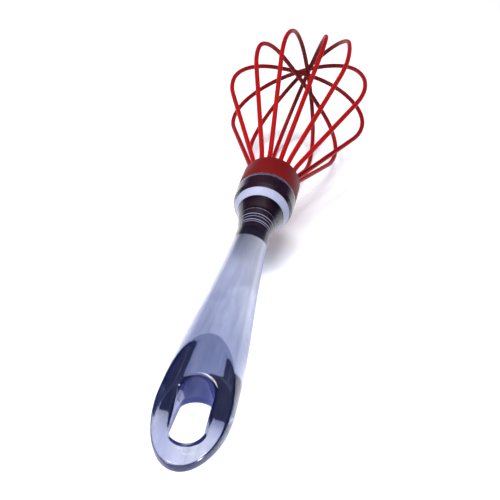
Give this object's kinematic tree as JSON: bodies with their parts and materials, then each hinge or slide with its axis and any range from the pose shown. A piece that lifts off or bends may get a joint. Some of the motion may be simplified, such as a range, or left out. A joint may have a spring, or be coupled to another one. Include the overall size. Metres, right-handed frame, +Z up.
{
  "type": "balloon whisk",
  "caption": "Balloon whisk with red silicone-coated wire loops, a red collar and a clear acrylic handle with dished thumb faces and a hanging slot.",
  "frame": {"origin": "centre of the bounding box at the table, as the whisk lies at rest on its handle and two of its legs", "axes": "+Y along the whisk towards the tip, +Z up from the table, +X to the right seen from the butt"},
  "size_m": [0.0734, 0.2923, 0.0728],
  "materials": {
    "clear_acrylic": "clear acrylic, polished, faint lavender-blue tint",
    "dark_plug": "very dark maroon moulded plastic, semi-gloss",
    "red_collar": "brick-red moulded plastic, matte",
    "epoxy": "cured potting resin",
    "red_silicone": "red silicone, satin",
    "spring_steel": "drawn stainless spring wire"
  },
  "bodies": {
    "root": {"handle": "clear_acrylic", "plug": "dark_plug", "collar": "red_collar", "epoxy_fill": "epoxy", "silicone_coat_1": "red_silicone", "silicone_coat_2": "red_silicone", "silicone_coat_3": "red_silicone", "silicone_coat_4": "red_silicone", "silicone_coat_5": "red_silicone", "silicone_coat_6": "red_silicone", "steel_wire_1": "spring_steel", "steel_wire_2": "spring_steel", "steel_wire_3": "spring_steel", "steel_wire_4": "spring_steel", "steel_wire_5": "spring_steel", "steel_wire_6": "spring_steel"}
  },
  "joints": []
}
